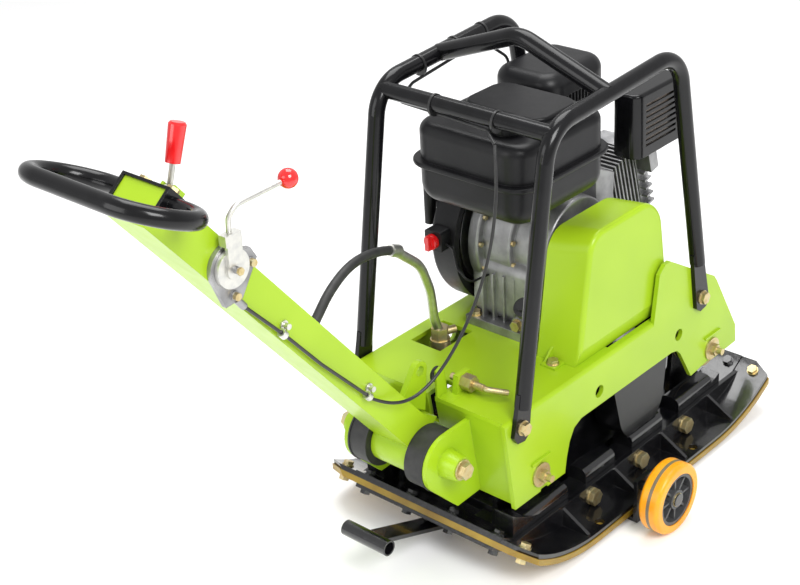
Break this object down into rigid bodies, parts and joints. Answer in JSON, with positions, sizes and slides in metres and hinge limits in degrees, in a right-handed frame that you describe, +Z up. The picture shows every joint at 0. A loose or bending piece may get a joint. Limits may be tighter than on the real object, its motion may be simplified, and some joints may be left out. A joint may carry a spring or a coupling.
{
  "type": "plate_compactor",
  "caption": "Walk-behind reversible vibratory plate compactor with petrol engine, roll cage, tilting guide handle, paving pad and slide-under transport trolley.",
  "frame": {"origin": "On the floor plane under the transport trolley's spine bar, midway across the machine, under the middle of the flat part of the base plate.", "axes": "+X points forward, away from the guide handle; +Y points to the machine's left; +Z points up out of the rest plane."},
  "size_m": [1.3271, 0.61, 0.8906],
  "materials": {
    "lime_paint": "gloss powder coat",
    "black_gloss": "gloss enamel",
    "black_satin": "satin powder coat",
    "zinc_yellow": "yellow passivated zinc",
    "zinc_steel": "bright zinc",
    "cast_alloy": "bead-blasted casting",
    "turned_steel": "turned",
    "black_plastic": "fine textured moulding",
    "red_plastic": "polished moulding",
    "dark_rubber": "moulded rubber",
    "cable_jacket": "extruded jacket",
    "amber_pad": "cast polyurethane",
    "amber_tyre": "cast polyurethane",
    "grey_hub": "moulded nylon",
    "scorched_steel": "heat tinted"
  },
  "bodies": {
    "base": {"air_cleaner": "black_plastic", "base_plate": "black_gloss", "belt_guard": "lime_paint", "cage_bars": "black_satin", "cage_hoop_left": "black_satin", "cage_hoop_right": "black_satin", "carburettor": "cast_alloy", "cylinder_head": "cast_alloy", "engine_block": "cast_alloy", "engine_cable": "cable_jacket", "exciter_bearings": "turned_steel", "exciter_covers": "black_gloss", "exciter_housing": "black_gloss", "fan_housing": "black_plastic", "frame_bolts": "zinc_yellow", "fuel_tank": "black_plastic", "hinge_bolts": "zinc_yellow", "hinge_bushes": "dark_rubber", "hydraulic_hose": "dark_rubber", "hydraulic_pipe": "zinc_steel", "lock_pin_body": "zinc_yellow", "lower_belt_cover": "black_satin", "lower_hose": "dark_rubber", "muffler": "scorched_steel", "muffler_shield": "black_satin", "pad_clamps": "zinc_yellow", "paving_pad": "amber_pad", "pipe_fitting": "zinc_yellow", "shock_rubbers": "dark_rubber", "shock_studs": "zinc_yellow", "side_wings": "black_gloss", "stop_bump": "dark_rubber", "switch_box": "black_plastic", "throttle_cable": "cable_jacket", "upper_frame": "lime_paint", "v_belt": "dark_rubber", "wing_bolts": "zinc_yellow"},
    "exciter_1": {"exciter_shaft_driven": "turned_steel"},
    "exciter_2": {"exciter_shaft_second": "turned_steel"},
    "crank": {"crankshaft": "turned_steel", "clutch_pulley": "turned_steel"},
    "handle": {"handle_beam": "lime_paint", "loop_handle": "black_satin", "handle_screws": "zinc_yellow", "throttle_body": "cast_alloy", "beam_cable": "cable_jacket"},
    "direction_arm": {"direction_lever": "zinc_steel", "direction_grip": "red_plastic"},
    "throttle_arm": {"throttle_lever": "zinc_steel", "throttle_ball": "red_plastic"},
    "parking_pin": {"lock_pin": "zinc_yellow"},
    "filler_cap": {"fuel_cap": "black_plastic"},
    "dipstick": {"oil_dipstick": "cable_jacket"},
    "stop_button": {"stop_knob": "red_plastic"},
    "starter": {"starter_grip": "black_plastic"},
    "trolley": {"trolley_frame": "black_gloss"},
    "wheel_l": {"wheel_tyre_left": "amber_tyre", "wheel_hub_left": "grey_hub"},
    "wheel_r": {"wheel_tyre_right": "amber_tyre", "wheel_hub_right": "grey_hub"}
  },
  "joints": [
    {"name": "handle_pivot", "type": "hinge", "parent": "base", "child": "handle", "pos_m": [-0.387, 0, 0.219], "axis": [0, 1, 0], "range_deg": [0, 36], "deforming": ["throttle_cable", "hydraulic_hose"]},
    {"name": "direction_lever", "type": "hinge", "parent": "handle", "child": "direction_arm", "pos_m": [-0.77886, 0.015, 0.80098], "axis": [0, 1, 0], "range_deg": [-17, 17]},
    {"name": "throttle_lever", "type": "hinge", "parent": "handle", "child": "throttle_arm", "pos_m": [-0.746, -0.05, 0.698], "axis": [0, 1, 0], "range_deg": [-15, 45]},
    {"name": "parking_pin", "type": "slide", "parent": "base", "child": "parking_pin", "axis": [0, 1, 0], "range_m": [0, 0.018]},
    {"name": "trolley_slide", "type": "slide", "parent": "base", "child": "trolley", "axis": [-1, 0, 0], "range_m": [0, 0.35]},
    {"name": "wheel_left_spin", "type": "hinge", "parent": "trolley", "child": "wheel_l", "pos_m": [-0.066, 0.284, 0.0624], "axis": [0, 1, 0], "continuous": true},
    {"name": "wheel_right_spin", "type": "hinge", "parent": "trolley", "child": "wheel_r", "pos_m": [-0.066, -0.284, 0.0624], "axis": [0, 1, 0], "continuous": true},
    {"name": "crank_spin", "type": "hinge", "parent": "base", "child": "crank", "pos_m": [0, 0, 0.43], "axis": [0, 1, 0], "continuous": true},
    {"name": "exciter_1_spin", "type": "hinge", "parent": "base", "child": "exciter_1", "pos_m": [0.05, 0, 0.14], "axis": [0, 1, 0], "continuous": true},
    {"name": "exciter_2_spin", "type": "hinge", "parent": "base", "child": "exciter_2", "pos_m": [-0.062, 0, 0.14], "axis": [0, 1, 0], "continuous": true},
    {"name": "fuel_cap_turn", "type": "hinge", "parent": "base", "child": "filler_cap", "pos_m": [-0.162, -0.042, 0.697], "axis": [0, 0, 1], "range_deg": [0, 120]},
    {"name": "dipstick_turn", "type": "hinge", "parent": "base", "child": "dipstick", "pos_m": [-0.1263, -0.0401, 0.3603], "axis": [-0.6781, -0.126, 0.7241], "range_deg": [0, 360]},
    {"name": "stop_knob_turn", "type": "hinge", "parent": "base", "child": "stop_button", "pos_m": [-0.167, 0.126, 0.45], "axis": [-1, 0, 0], "range_deg": [0, 90]},
    {"name": "starter_pull", "type": "slide", "parent": "base", "child": "starter", "axis": [-1, 0, 0], "range_m": [0, 0.1], "stiffness_N_per_m": 80, "springref_m": -0.1}
  ],
  "couplings": [
    {"joint": "exciter_1_spin", "follows": "crank_spin", "ratio": 1.1379},
    {"joint": "exciter_2_spin", "follows": "crank_spin", "ratio": -1.1379}
  ]
}
